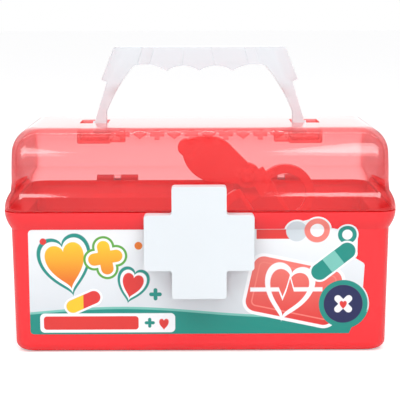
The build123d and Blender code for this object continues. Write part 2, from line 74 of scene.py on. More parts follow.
class Wire:
    """A node's output. Arithmetic on it adds Math nodes to its tree, and node() adds any other."""

    def __init__(self, tree, socket=None):
        self.tree, self.socket = tree, socket

    def node(self, kind, settings=None, values=None, out=0):
        """Adds a node, sets it up, then fills its sockets with values, wires or a list of wires."""
        made = self.tree.nodes.new(kind)
        for key, value in (settings or {}).items():
            setattr(made, key, value)
        for key, value in (values or {}).items():
            for one in value if isinstance(value, list) else [value]:
                if isinstance(one, Wire):
                    self.tree.links.new(one.socket, made.inputs[key])
                else:
                    made.inputs[key].default_value = one
        return Wire(self.tree, made.outputs[out]) if made.outputs else None

    def math(self, operation, *others):
        """A Math node on this wire and any others."""
        return self.node("ShaderNodeMath", {"operation": operation}, dict(enumerate((self, *others))))

    def __add__(self, other):
        return self.math("ADD", other)

    def __sub__(self, other):
        return self.math("SUBTRACT", other)

    def __rsub__(self, other):
        return self.node("ShaderNodeMath", {"operation": "SUBTRACT"}, {0: other, 1: self})

    def __mul__(self, other):
        return self.math("MULTIPLY", other)

    def __truediv__(self, other):
        return self.math("DIVIDE", other)

    def __pow__(self, other):
        return self.math("POWER", other)

    def __mod__(self, other):
        return self.math("MODULO", other)

    def __lt__(self, other):
        return self.math("LESS_THAN", other)

    def __gt__(self, other):
        return self.math("GREATER_THAN", other)

    def __abs__(self):
        return self.math("ABSOLUTE")

    __radd__ = __add__
    __rmul__ = __mul__

    def least(self, other):
        """The lesser of the two."""
        return self.math("MINIMUM", other)

    def most(self, other):
        """The greater of the two."""
        return self.math("MAXIMUM", other)

    def clipped(self):
        """Held between 0 and 1."""
        return self.most(0.0).least(1.0)

    def blend(self, mask, under, over):
        """Colour over laid on colour under, where mask is 1."""
        return self.node("ShaderNodeMix", {"data_type": "RGBA"}, {0: mask, 6: under, 7: over}, 2)

    def parts(self):
        """The X, Y and Z of a vector wire."""
        return [self.node("ShaderNodeSeparateXYZ", values={0: self}, out=axis) for axis in range(3)]


def shader(name):
    """A new material with an empty tree. Gives the material and a wire to add nodes with."""
    made = bpy.data.materials.new(name)
    made.use_nodes = True
    made.node_tree.nodes.clear()
    return made, Wire(made.node_tree)


def finish_with(surface):
    """Joins the finished surface to its material's output."""
    surface.node("ShaderNodeOutputMaterial", values={"Surface": surface})


def ink(red, green, blue):
    """A colour as a paint chart gives it, 0 to 255, turned to linear light."""
    return tuple((c / 255 / 12.92 if c <= 10 else ((c / 255 + 0.055) / 1.055) ** 2.4)
                 for c in (red, green, blue)) + (1.0,)


def drawn(name, draw):
    """A new piece, whose mesh a drawing function fills in."""
    work = bmesh.new()
    draw(work)
    mesh = bpy.data.meshes.new(name)
    work.to_mesh(mesh)
    work.free()
    return placed(name, mesh)


# The room lights the case evenly, but less from its far sides. In the gloss of the plastics it has
# a bright backdrop behind the case and dark flags at the left and right, both up to band_half high.
room_level, room_sides, side_from, side_soft = 0.82, 0.40, 0.35, 0.35
mirror_level, mirror_backdrop, backdrop_sharp = 0.9, 1.4, 4.0
mirror_flags, flag_from, flag_soft, band_half, band_soft = 0.25, 0.16, 0.25, 0.25, 0.35
room = bpy.data.worlds.new("studio room")
bpy.context.scene.world = room
room.use_nodes = True
room.node_tree.nodes.clear()
sky = Wire(room.node_tree)
seen = sky.node("ShaderNodeLightPath", out="Is Camera Ray")
shining = sky.node("ShaderNodeLightPath", out="Is Glossy Ray")
passing = sky.node("ShaderNodeLightPath", out="Is Transmission Ray")
sideways, behind, height = sky.node("ShaderNodeTexCoord", out="Generated").parts()
low = 1 - ((abs(height) - band_half) / band_soft).clipped()
backdrop = (behind * backdrop_sharp).clipped() * low
flag = ((abs(sideways) - flag_from) / flag_soft).clipped() * low
far_side = ((abs(sideways) - side_from) / side_soft).clipped()
room_light = room_level * (1 - far_side * (1 - room_sides))
mirrored_room = mirror_level + backdrop * (mirror_backdrop - mirror_level)
mirrored_room = mirrored_room * (1 - flag * (1 - mirror_flags))
strength = seen.most(passing).most(shining * mirrored_room).most(room_light * (1 - shining))
sky.node("ShaderNodeOutputWorld", values={
    "Surface": sky.node("ShaderNodeBackground", values={"Color": (1, 1, 1, 1), "Strength": strength})})

paper_size, paper_drop, paper_glow = 9000, 0.2, 0.42
lowered = Matrix.Translation((0, 0, -paper_drop * mm))
floor = drawn("paper floor", lambda work: bmesh.ops.create_grid(
    work, x_segments=8, y_segments=8, size=paper_size * mm, matrix=lowered))
floor_paper, paper_tree = shader("white paper")
paper_seen = paper_tree.node("ShaderNodeLightPath", out="Is Camera Ray")
matt = paper_tree.node("ShaderNodeBsdfDiffuse", values={"Color": ink(240, 240, 241)})
glow = paper_tree.node("ShaderNodeEmission", values={"Strength": paper_seen * paper_glow})
finish_with(paper_tree.node("ShaderNodeAddShader", values={0: matt, 1: glow}))
floor.data.materials.append(floor_paper)

case_middle = Vector((0, 0, 100)) * mm


def soft_box(name, place, width, depth, watts, turn=0.0, mirrored=True):
    """A soft box on a stand, aimed at the case and turned about its own axis."""
    lamp = bpy.data.lights.new(name, "AREA")
    lamp.shape, lamp.size, lamp.size_y, lamp.energy = "RECTANGLE", width * mm, depth * mm, watts
    stand = placed(name, lamp)
    stand_place = Vector(place) * mm
    facing = (case_middle - stand_place).to_track_quat("-Z", "Y").to_matrix().to_4x4()
    stand.matrix_world = Matrix.Translation(stand_place) @ facing @ Matrix.Rotation(turn, 4, "Z")
    stand.visible_glossy = mirrored


soft_box("right soft box", (520, -760, 1260), 620, 620, 6.8, pi / 4)
soft_box("left soft box", (-620, -780, 1280), 600, 600, 6.8, pi / 4)
soft_box("top strip", (0, 420, 1220), 1600, 50, 1.8)
soft_box("front fill", (-100, -2600, 700), 1300, 1300, 7.0, mirrored=False)

# ---- Tub ------------------------------------------------------------------------------------
# One red injection moulding, open on top: drafted walls, a convex flare out to the rim, and a
# rounded foot. The hinge knuckles behind and the latch ears in front are moulded with it.

rim_width, rim_depth, rim_radius, rim_height = 260.0, 150.0, 14.0, 96.0
flare_out, flare_height, wall, seam_gap = 4.3, 12.0, 2.2, 0.8
tub_straight, tub_lean, foot_round = 76.8, 1.2, 7.0
tub_top, outer_wall = rim_height - seam_gap / 2, rim_depth / 2 - flare_out


def shape_tree(name, inputs):
    """A new Geometry Nodes tree with these inputs. Gives a wire to add nodes with, and the inputs' wires."""
    tree = bpy.data.node_groups.new(name, "GeometryNodeTree")
    for title, kind in inputs.items():
        tree.interface.new_socket(title, in_out="INPUT", socket_type="NodeSocket" + kind)
    tree.interface.new_socket("Geometry", in_out="OUTPUT", socket_type="NodeSocketGeometry")
    entry = tree.nodes.new("NodeGroupInput")
    return Wire(tree), {socket.name: Wire(tree, socket) for socket in entry.outputs if socket.name}


def moulded_shell():
    """Node tree of a thin-walled box with a flared rim, closed at the far end, that grows up or down."""
    inputs = dict.fromkeys(("Width", "Depth", "Corner radius", "Rim height", "Direction", "Flare out",
                            "Flare height", "Straight", "Lean", "Round X", "Round side Z", "Round Y",
                            "Round front Z", "Wall"), "Float")
    inputs.update(dict.fromkeys(("Corner steps", "Flare rows", "Round rows"), "Int"), Plastic="Material")
    start, size = shape_tree("moulded shell", inputs)

    # Columns go once round the box. Rows go from the middle of the inner face over the rim to the
    # middle of the outer one.
    corner = size["Corner steps"]
    side_rows = size["Flare rows"] + size["Round rows"] + 2.0
    columns = corner * 4.0 + 5.0
    rows = side_rows * 2.0 + 2.0
    grid = start.node("GeometryNodeMeshGrid", values={
        "Size X": columns - 1.0, "Size Y": rows - 1.0, "Vertices X": columns, "Vertices Y": rows})
    across, along, _ = start.node("GeometryNodeInputPosition").parts()
    column = (across + (columns - 1.0) / 2.0).math("ROUND")
    row = (along + (rows - 1.0) / 2.0).math("ROUND")

    # Away from the rim, the rows go down the flare, the straight wall and the round, then close
    inside = row < side_rows + 0.5
    step = (row - side_rows - 1.0).most(side_rows - row)
    flare = (step / size["Flare rows"]).least(1.0)
    straight = (step - size["Flare rows"]).clipped()
    turn = ((step - size["Flare rows"] - 1.0) / size["Round rows"]).clipped() * (pi / 2)
    close = (step - side_rows + 1.0).most(0.0)

    # How far each row stands in from the rim, and how far along the wall it is
    flare_in = size["Flare out"] * flare * flare + size["Wall"] * inside
    rise = size["Round front Z"] * turn.math("SINE")
    side_rise = ((rise - size["Round front Z"] + size["Round side Z"]) / size["Round side Z"]).most(0.0)
    in_x = flare_in + size["Lean"] * straight + size["Round X"] * (
        1 - (1 - side_rise * side_rise).most(0.0).math("SQRT"))
    in_y = flare_in + size["Lean"] * straight + size["Round Y"] * (1 - turn.math("COSINE"))
    up = size["Flare height"] * flare + (size["Straight"] - size["Wall"] * inside) * straight + rise

    # Where each column is, round the four corners
    quarter = (column / (corner + 1.0)).math("FLOOR")
    angle = (quarter + (column - quarter * (corner + 1.0)) / corner) * (pi / 2)
    middle = (quarter + 0.5) * (pi / 2)
    radius = (size["Corner radius"] - flare_in) * (1 - close)
    half_x = size["Width"] / 2.0 - in_x
    half_y = size["Depth"] / 2.0 - in_y
    reach_x = half_x - half_y * close - radius
    reach_y = half_y * (1 - close) - radius
    place = start.node("ShaderNodeCombineXYZ", values={
        "X": reach_x * middle.math("COSINE").math("SIGN") + radius * angle.math("COSINE"),
        "Y": reach_y * middle.math("SINE").math("SIGN") + radius * angle.math("SINE"),
        "Z": size["Rim height"] + size["Direction"] * up})
    shell = start.node("GeometryNodeSetPosition", values={"Geometry": grid, "Position": place})
    shell = start.node("GeometryNodeMergeByDistance", values={"Geometry": shell, "Distance": 0.02 * mm})
    shell = start.node("GeometryNodeRealizeInstances", values={"Geometry": shell})
    shell = start.node("GeometryNodeSetMaterial", values={"Geometry": shell, "Material": size["Plastic"]})
    start.node("NodeGroupOutput", values={"Geometry": shell})
    return start.tree


def grown(name, tree, sizes):
    """Runs a Geometry Nodes tree with these inputs, and bakes what it makes."""
    holder = placed(name, bpy.data.meshes.new(name))
    step = holder.modifiers.new(name, "NODES")
    step.node_group = tree
    named = {item.name: item.identifier for item in tree.interface.items_tree if item.in_out == "INPUT"}
    for key, value in sizes.items():
        step[named[key]] = value
    return baked(holder)


def baked(piece):
    """Turns a piece's modifiers into plain mesh, and drops material slots that hold nothing."""
    bpy.context.view_layer.update()
    mesh = bpy.data.meshes.new_from_object(piece.evaluated_get(bpy.context.evaluated_depsgraph_get()))
    piece.modifiers.clear()
    piece.data = mesh
    mesh.name = piece.name
    for slot in reversed(range(len(mesh.materials))):
        if mesh.materials[slot] is None:
            mesh.materials.pop(index=slot)
    return piece


def turned_out(piece):
    """Flips a closed mesh whose faces all point inwards."""
    work = bmesh.new()
    work.from_mesh(piece.data)
    if work.calc_volume(signed=True) < 0:
        bmesh.ops.reverse_faces(work, faces=work.faces)
    work.to_mesh(piece.data)
    work.free()
    return piece


def smoothed(piece, angle=30.0):
    """Smooth shading, broken at edges sharper than the angle."""
    piece.data.shade_smooth()
    piece.data.set_sharp_from_angle(angle=radians(angle))
    return piece


def finished(piece, body, node, slot, *plastics):
    """Gives a piece its plastics and its body, and hides the CAD node that it stands for. The slot is not
    used.
    """
    for plastic in plastics:
        piece.data.materials.append(plastic)
    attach(piece, body)
    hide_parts(node)


def cut_or_join(piece, operation, *draws):
    """Boolean of a closed piece with the closed shapes that these drawing functions make. Only shapes
    that are joined may overlap each other."""
    tool = drawn("tool", lambda work: [draw(work) for draw in draws])
    step = piece.modifiers.new(operation, "BOOLEAN")
    step.operation, step.solver, step.object = operation, "EXACT", tool
    step.use_self = operation == "UNION"
    baked(piece)
    bpy.data.objects.remove(tool)
    return piece


def prism(x_from, x_to, profile):
    """Draws a bar along X from its outline in Y and Z."""
    def draw(work):
        ends = [[work.verts.new((x * mm, y * mm, z * mm)) for y, z in profile] for x in (x_from, x_to)]
        faces = [work.faces.new(ends[0]), work.faces.new(ends[1][::-1])]
        for i in range(len(profile)):
            j = (i + 1) % len(profile)
            faces.append(work.faces.new((ends[0][j], ends[0][i], ends[1][i], ends[1][j])))
        bmesh.ops.recalc_face_normals(work, faces=faces)
    return draw


def arc(y, z, radius, start, stop, steps=16):
    """Points of an arc, from one angle in degrees to another."""
    turns = [radians(start + (stop - start) * i / steps) for i in range(steps + 1)]
    return [(y + radius * cos(turn), z + radius * sin(turn)) for turn in turns]


def rod(x_from, x_to, y, z, radius):
    """Draws a round bar along X."""
    return prism(x_from, x_to, arc(y, z, radius, 0, 345, 23))


def block(x_from, x_to, y_from, y_to, z_from, z_to, soft=0.0):
    """Draws a box, with its edges rounded where soft is given."""
    def draw(work):
        made = bmesh.ops.create_cube(work, size=1.0)["verts"]
        for v in made:
            ends = zip(v.co, (x_from, y_from, z_from), (x_to, y_to, z_to))
            v.co = Vector([(low + high) / 2 + (high - low) * share for share, low, high in ends]) * mm
        if soft:
            edges = list({e for v in made for e in v.link_edges})
            bmesh.ops.bevel(work, geom=edges, offset=soft * mm, segments=3, affect="EDGES", profile=0.5)
    return draw


def both_sides(shape, x_from, x_to, *rest):
    """The same shape drawn at the right and at the left."""
    return [shape(x_from, x_to, *rest), shape(-x_to, -x_from, *rest)]


def opaque_plastic(name, colour, gloss=0.2, texture=0.35, shine=0.5):
    """Glossy moulding: pigment a little cloudy, gloss a little uneven, with the mould's faint texture."""
    made, start = shader(name)
    spot = start.node("ShaderNodeTexCoord", out="Object")
    cloud = start.node("ShaderNodeTexNoise", values={"Vector": spot, "Scale": 14.0, "Detail": 3.0})
    wear = start.node("ShaderNodeTexNoise", values={
        "Vector": spot, "Scale": 60.0, "Detail": 5.0, "Roughness": 0.7})
    grain = start.node("ShaderNodeTexNoise", values={"Vector": spot, "Scale": 900.0, "Detail": 2.0})
    deep = tuple(c * 0.93 for c in colour[:3]) + (1.0,)
    tint = start.blend(cloud, deep, colour)
    rise = start.node("ShaderNodeBump", values={"Strength": texture, "Distance": 0.02 * mm,
                                                "Height": grain + cloud * 2.0})
    finish_with(start.node("ShaderNodeBsdfPrincipled", values={
        "Base Color": tint, "Roughness": gloss + wear * 0.10, "IOR": 1.49, "Specular IOR Level": shine,
        "Normal": rise}))
    return made


tub_red = opaque_plastic("red tub plastic", (0.94, 0.024, 0.032, 1.0), gloss=0.16)
shell_tree = moulded_shell()
rim_sizes = {"Width": rim_width * mm, "Depth": rim_depth * mm, "Corner radius": rim_radius * mm,
             "Flare out": flare_out * mm, "Flare height": flare_height * mm, "Wall": wall * mm,
             "Corner steps": 14, "Flare rows": 12}
tub_sizes = {"Rim height": tub_top * mm, "Direction": -1.0, "Straight": tub_straight * mm,
             "Lean": tub_lean * mm, "Round X": foot_round * mm, "Round side Z": foot_round * mm,
             "Round Y": foot_round * mm, "Round front Z": foot_round * mm, "Round rows": 12,
             "Plastic": tub_red}
tub = turned_out(grown("tub_moulding", shell_tree, {**rim_sizes, **tub_sizes}))

# The hinge's axis and knuckles, the latch's axis and ears, and the section of the locating lip
# inside the rim, as depth inwards and height
hinge_x, hinge_y, hinge_z, pin_bore, bore_half = 63.2, 80.0, 96.0, 1.55, 20.0
knuckle, knuckle_from, knuckle_to, knuckle_foot, rooted = 4.0, 2.85, 15.85, 83.8, 0.1
latch_y, latch_z, ear, ear_x, ear_half, ear_root = -79.4, 47.7, 3.6, 11.6, 1.4, -69.0
lip = [(2.0, 92.6), (2.0, 95.4), (2.6, 95.6), (2.6, 96.7), (3.3, 96.7), (3.3, 92.6)]


def draw_lip(work):
    """A band round the inside of the rim."""
    loops = []
    for inset, z in lip:
        half_x, half_y, bend = rim_width / 2 - inset, rim_depth / 2 - inset, rim_radius - inset
        outline = [point for quarter, (side_x, side_y) in enumerate(((1, 1), (-1, 1), (-1, -1), (1, -1)))
                   for point in arc(side_x * (half_x - bend), side_y * (half_y - bend), bend,
                                    90 * quarter, 90 * quarter + 90, 12)]
        loops.append([work.verts.new((x * mm, y * mm, z * mm)) for x, y in outline])
    for one, other in zip(loops, loops[1:] + loops[:1]):
        for i in range(len(one)):
            j = (i + 1) % len(one)
            work.faces.new((one[i], one[j], other[j], other[i]))
    bmesh.ops.recalc_face_normals(work, faces=work.faces)


tub_knuckle = ([(outer_wall - rooted, rim_height - 0.2)] + arc(hinge_y, hinge_z, knuckle, 177, -90)
               + [(outer_wall, knuckle_foot)])
latch_ear = arc(latch_y, latch_z, ear, 90, 270) + [(ear_root, latch_z - ear), (ear_root, latch_z + ear)]
cut_or_join(tub, "UNION", draw_lip,
            *both_sides(prism, hinge_x + knuckle_from, hinge_x + knuckle_to, tub_knuckle),
            *both_sides(prism, hinge_x - knuckle_to, hinge_x - knuckle_from, tub_knuckle),
            *both_sides(prism, ear_x - ear_half, ear_x + ear_half, latch_ear))
cut_or_join(tub, "DIFFERENCE", rod(-bore_half, bore_half, latch_y, latch_z, pin_bore),
            *both_sides(rod, hinge_x - bore_half, hinge_x + bore_half, hinge_y, hinge_z, pin_bore))

# The rim is matt above the seam, on its top and its outward faces, and painted darker there as the shade in
# the seam gap
shaded_rim_red = opaque_plastic("matt red rim", (0.62, 0.010, 0.013, 1.0), gloss=0.7, shine=0.05)
tub.data.materials.append(shaded_rim_red)
for face in tub.data.polygons:
    x, y, z = face.center / mm
    outwards = face.normal.x * x + face.normal.y * y > 0 and abs(y) < rim_depth / 2
    if z > rim_height - seam_gap and (face.normal.z > 0.9 or outwards):
        face.material_index = 1
finished(smoothed(tub), "base", "tub", "tub_plastic")

# ---- Lid ------------------------------------------------------------------------------------
# One see-through red moulding, hinged behind: the same flare turned over, then a dome with a long
# round in front and tighter ends. Pockets for the handle's legs, a boss beside each for the
# handle's stub, two knuckles and a catch are moulded with it.

lid_straight, lid_lean = 6.8 - seam_gap / 2, 0.6
dome_end, dome_end_high, dome_front, dome_high = 13.0, 15.0, 26.0, 34.0


def tinted_plastic(name, thin_tint, thick_tint, haze_share, polish=1.0):
    """Clear tinted moulding, deeper and cloudier where it is looked at edge on, with a gloss on it."""
    made, start = shader(name)
    spot = start.node("ShaderNodeTexCoord", out="Object")
    cloud = start.node("ShaderNodeTexNoise", values={"Vector": spot, "Scale": 11.0, "Detail": 3.0})
    wear = start.node("ShaderNodeTexNoise", values={
        "Vector": spot, "Scale": 70.0, "Detail": 5.0, "Roughness": 0.7})
    ripple = start.node("ShaderNodeTexNoise", values={"Vector": spot, "Scale": 26.0, "Detail": 1.0})
    uneven = start.node("ShaderNodeBump", values={"Strength": 0.25, "Distance": 0.12 * mm, "Height": ripple})
    glancing = start.node("ShaderNodeLayerWeight", values={"Blend": 0.5}, out="Facing")
    thin = start.node("ShaderNodeBsdfTransparent", values={"Color": thin_tint})
    thick = start.node("ShaderNodeBsdfTransparent", values={"Color": thick_tint})
    clear = start.node("ShaderNodeMixShader", values={0: glancing ** 2.0, 1: thin, 2: thick})
    haze = start.node("ShaderNodeBsdfDiffuse", values={"Color": (1.0, 0.09, 0.10, 1.0)})
    body = start.node("ShaderNodeMixShader", values={
        0: haze_share + cloud * 0.04 + glancing ** 2.0 * 0.38, 1: clear, 2: haze})
    shine = start.node("ShaderNodeBsdfGlossy", values={
        "Color": (1.0, 1.0, 1.0, 1.0), "Roughness": 0.03 + wear * 0.07, "Normal": uneven})
    finish_with(start.node("ShaderNodeMixShader", values={
        0: (0.04 + glancing ** 5.0 * 0.96) * polish, 1: body, 2: shine}))
    return made


lid_red = tinted_plastic("see-through red plastic", (1.0, 0.765, 0.77, 1.0), (1.0, 0.34, 0.34, 1.0), 0.01)
thick_red = tinted_plastic("see-through red edges", (0.975, 0.72, 0.70, 1.0), (0.99, 0.28, 0.28, 1.0), 0.10,
                           polish=0.35)
lid_sizes = {"Rim height": (rim_height + seam_gap / 2) * mm, "Direction": 1.0, "Straight": lid_straight * mm,
             "Lean": lid_lean * mm, "Round X": dome_end * mm, "Round side Z": dome_end_high * mm,
             "Round Y": dome_front * mm, "Round front Z": dome_high * mm, "Round rows": 28,
             "Plastic": lid_red}
lid = turned_out(grown("lid_moulding", shell_tree, {**rim_sizes, **lid_sizes}))

# The pockets and the bosses beside them, the catch in front, and the lid's own two knuckles
slot_in, slot_out, slot_half, slot_floor, slot_round, leg_wall = 63.8, 83.6, 14.0, 136.4, 1.2, 1.8
sheet, above_lid, joined = 147.9, 160.0, 0.5
boss_in, boss_half, boss_end, stub_z, stub_bore = 52.8, 6.0, 2.0, 144.5, 2.85
catch_half, catch_front, catch_back, catch_low, catch_high = 10.0, -75.0, -69.6, 106.2, 108.2
knuckle_half, lid_bore_half, knuckle_head = 2.5, 5.0, 100.0
lid_knuckle = ([(outer_wall - rooted, rim_height + 0.2)] + arc(hinge_y, hinge_z, knuckle, 177, 450)
               + [(outer_wall - rooted, knuckle_head)])
pocket_low = slot_floor - leg_wall
cut_or_join(lid, "UNION",
            block(-catch_half, catch_half, catch_front, catch_back, catch_low, catch_high, 0.3),
            *both_sides(block, slot_in - leg_wall, slot_out + leg_wall, -slot_half - leg_wall,
                        slot_half + leg_wall, pocket_low, sheet, slot_round),
            *both_sides(prism, hinge_x - knuckle_half, hinge_x + knuckle_half, lid_knuckle))
cut_or_join(lid, "UNION",
            *both_sides(block, boss_in, slot_in - joined, -boss_half, boss_half, pocket_low, sheet))
cut_or_join(lid, "DIFFERENCE",
            *both_sides(block, slot_in, slot_out, -slot_half, slot_half, slot_floor, above_lid, slot_round))
cut_or_join(lid, "DIFFERENCE",
            *both_sides(rod, boss_in + boss_end, slot_in + joined, 0.0, stub_z, stub_bore),
            *both_sides(rod, hinge_x - lid_bore_half, hinge_x + lid_bore_half, hinge_y, hinge_z, pin_bore))

# The pockets and the rim's edge are thick plastic, seen deeper in colour
lid.data.materials.append(thick_red)
for face in lid.data.polygons:
    x, y, z = face.center / mm
    pocket = abs(y) < slot_half + leg_wall + 0.2 and boss_in - 1.0 < abs(x) < slot_out + leg_wall + 0.5
    if (pocket and z < sheet - 1.3) or (face.normal.z < -0.9 and z < rim_height + 1.0):
        face.material_index = 1
finished(smoothed(lid), "lid", "lid", "lid_plastic")

# ---- Raised pattern -------------------------------------------------------------------------
# A row of crosses and hearts in turn along the front edge of the lid, in the same see-through
# plastic. They are moulded with the dome, stand a little proud of it and are bent round its front.

cross_half, cross_arm_half, heart_scale, raised_high, raised_deep = 4.6, 1.7, 0.29, 0.75, 0.4
figure_pitch, figure_lift, figure_bend, middle_angle = 11.4, 0.2, 27.2, 63


def flat_motif(name, outline):
    """A flat raised figure from its outline in X and Y."""
    def draw(work):
        ring = [work.verts.new((x * mm, y * mm, -raised_deep * mm)) for x, y in outline]
        edges = [work.edges.new((v, ring[(i + 1) % len(ring)])) for i, v in enumerate(ring)]
        made = bmesh.ops.triangle_fill(work, edges=edges, use_beauty=True)
        faces = [f for f in made["geom"] if isinstance(f, bmesh.types.BMFace)]
        top = bmesh.ops.extrude_face_region(work, geom=faces)["geom"]
        bmesh.ops.translate(work, verts=[g for g in top if isinstance(g, bmesh.types.BMVert)],
                            vec=(0, 0, (raised_high + raised_deep) * mm))
        bmesh.ops.recalc_face_normals(work, faces=work.faces)
    return drawn(name, draw)


corners = [(cross_half, cross_arm_half), (cross_arm_half, cross_arm_half), (cross_arm_half, cross_half)]
plus = [(x * cos(turn) - y * sin(turn), x * sin(turn) + y * cos(turn))
        for turn in (0, pi / 2, pi, 3 * pi / 2) for x, y in corners]
heart = [(heart_scale * 16 * sin(turn) ** 3,
          heart_scale * (13 * cos(turn) - 5 * cos(2 * turn) - 2 * cos(3 * turn) - cos(4 * turn) + 2))
         for turn in [radians(15 * i) for i in range(24)]]
raised_cross, raised_heart = flat_motif("raised cross", plus), flat_motif("raised heart", heart)


def raised_row():
    """Node tree: two figures in turn along a row, bent round the dome's front."""
    inputs = {"Count": "Int"}
    inputs.update(dict.fromkeys(("Pitch", "Middle angle", "Bend radius", "Round Y", "Round Z",
                                 "Round start Y", "Round start Z"), "Float"))
    inputs.update(Cross="Object", Heart="Object", Plastic="Material")
    start, size = shape_tree("raised row", inputs)
    spacing = start.node("ShaderNodeCombineXYZ", values={"X": size["Pitch"]})
    first = start.node("ShaderNodeCombineXYZ", values={"X": size["Pitch"] * (1.0 - size["Count"]) / 2.0})
    row = start.node("GeometryNodeMeshLine", values={
        "Count": size["Count"], "Start Location": first, "Offset": spacing})
    odd = start.node("GeometryNodeInputIndex") % 2.0
    figures = [start.node("GeometryNodeInstanceOnPoints", values={
        "Points": row, "Selection": chosen,
        "Instance": start.node("GeometryNodeObjectInfo", values={"Object": size[name]}, out="Geometry")})
        for name, chosen in (("Cross", odd < 0.5), ("Heart", odd > 0.5))]
    join = start.node("GeometryNodeJoinGeometry", values={"Geometry": figures})
    flat = start.node("GeometryNodeRealizeInstances", values={"Geometry": join})
    x, y, z = start.node("GeometryNodeInputPosition").parts()
    turn = size["Middle angle"] + y / size["Bend radius"]
    face_y, face_z = turn.math("COSINE") / size["Round Y"], turn.math("SINE") / size["Round Z"]
    long = (face_y * face_y + face_z * face_z).math("SQRT")
    bent = start.node("ShaderNodeCombineXYZ", values={
        "X": x,
        "Y": size["Round start Y"] - size["Round Y"] * turn.math("COSINE") - z * face_y / long,
        "Z": size["Round start Z"] + size["Round Z"] * turn.math("SINE") + z * face_z / long})
    bent = start.node("GeometryNodeSetPosition", values={"Geometry": flat, "Position": bent})
    done = start.node("GeometryNodeRealizeInstances", values={"Geometry": bent})
    done = start.node("GeometryNodeSetMaterial", values={"Geometry": done, "Material": size["Plastic"]})
    start.node("NodeGroupOutput", values={"Geometry": done})
    return start.tree


dome_start_y = -(outer_wall - lid_lean - dome_front)
dome_start_z = rim_height + seam_gap / 2 + flare_height + lid_straight
lid_pattern = grown("lid_raised_pattern", raised_row(), {
    "Count": 10, "Pitch": figure_pitch * mm, "Middle angle": radians(middle_angle),
    "Bend radius": figure_bend * mm, "Round Y": dome_front * mm, "Round Z": dome_high * mm,
    "Round start Y": dome_start_y * mm, "Round start Z": (dome_start_z + figure_lift) * mm,
    "Cross": raised_cross, "Heart": raised_heart, "Plastic": lid_red})
bpy.data.objects.remove(raised_cross)
bpy.data.objects.remove(raised_heart)
smoothed(lid_pattern)
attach(lid_pattern, "lid")

# ---- Handle ---------------------------------------------------------------------------------
# One white moulding: a grip with finger hollows below and shallow facets along its faces, and two
# legs that end in hubs. The hubs' stubs snap into the lid's bosses, so it folds either way.

white = opaque_plastic("white plastic", (0.76, 0.81, 0.845, 1.0), gloss=0.26)


def rounded(piece, edge, segments=3, sharp=35.0):
    """Rounds a piece's sharp edges and keeps its flats flat."""
    step = piece.modifiers.new("rounded edges", "BEVEL")
    step.width, step.segments = edge * mm, segments
    step.limit_method, step.angle_limit = "ANGLE", radians(sharp)
    flats = piece.modifiers.new("flat faces", "WEIGHTED_NORMAL")
    flats.weight, flats.keep_sharp = 100, True
    piece.data.shade_smooth()
    return baked(piece)


# Half the outline: up the leg's outer side and along the top, then under it over the hollows and
# down the leg's inner side
leg_in, leg_out, leg_foot, leg_head, arch_foot = 65.4, 75.0, 144.5, 176.7, 155.5
grip_low, grip_top = 184.6, 201.0
half_outline = [(leg_out, leg_foot), (65.1, leg_head), (68.6, 178.5), (60.0, grip_top - 0.6),
                (58.6, grip_top), (0.0, grip_top)]
hollow_pitch, hollow_deep, end_hollow_bow, arch_corner, arch_bow = 23.0, 3.6, 2.6, 188.0, 1.2


def dip(start, end, bow_x, bow_z, steps):
    """Points from one end to the other of a shallow arc, bowed at its middle, without the first."""
    return [(start[0] + (end[0] - start[0]) * t + 4 * t * (1 - t) * bow_x,
             start[1] + (end[1] - start[1]) * t + 4 * t * (1 - t) * bow_z)
            for t in [(i + 1) / steps for i in range(steps)]]


under = [(0.0, grip_low)]
under += dip(under[-1], (hollow_pitch, grip_low), 0, hollow_deep, 10)
under += dip(under[-1], (2 * hollow_pitch, arch_corner), 0, end_hollow_bow, 10)
under += dip(under[-1], (leg_in, arch_foot), arch_bow, arch_bow, 16) + [(leg_in, leg_foot)]
handle_outline = half_outline + [(-x, z) for x, z in half_outline[-2::-1]]
handle_outline += [(-x, z) for x, z in under[::-1]] + under[1:]

# Facet lines across the grip's faces: their top and bottom ends, and how far each is sunk. A fine
# groove runs down each line. Outside the end facets the grip tapers to the shoulders' lines, and
# from thin_foot up the legs thicken by thin_slope.
grip_thick, leg_thick, flange_thick, thin_foot, thin_slope = 9.0, 4.0, 5.2, 168.0, 0.3
groove_half, groove_deep, on_line = 0.5, 0.42, 0.02
facets = (((-38.9, 201.7), (-43.6, 188.6), 0.0), ((-31.3, 201.7), (-35.2, 187.9), 0.9),
          ((-10.8, 201.7), (-12.4, 187.8), 0.1), ((7.5, 201.6), (10.6, 187.7), 0.8),
          ((30.5, 201.5), (34.8, 187.7), 0.0), ((38.0, 201.7), (42.5, 188.6), 0.3))
shoulders = (((-55.3, 200.4), (-64.9, 176.9)), ((51.1, 201.5), (63.0, 177.6)))


def off_line(x, z, top, low):
    """How far a point is to the right of a line across the grip."""
    run_x, run_z = low[0] - top[0], low[1] - top[1]
    return ((x - top[0]) * -run_z + (z - top[1]) * run_x) / hypot(run_x, run_z)


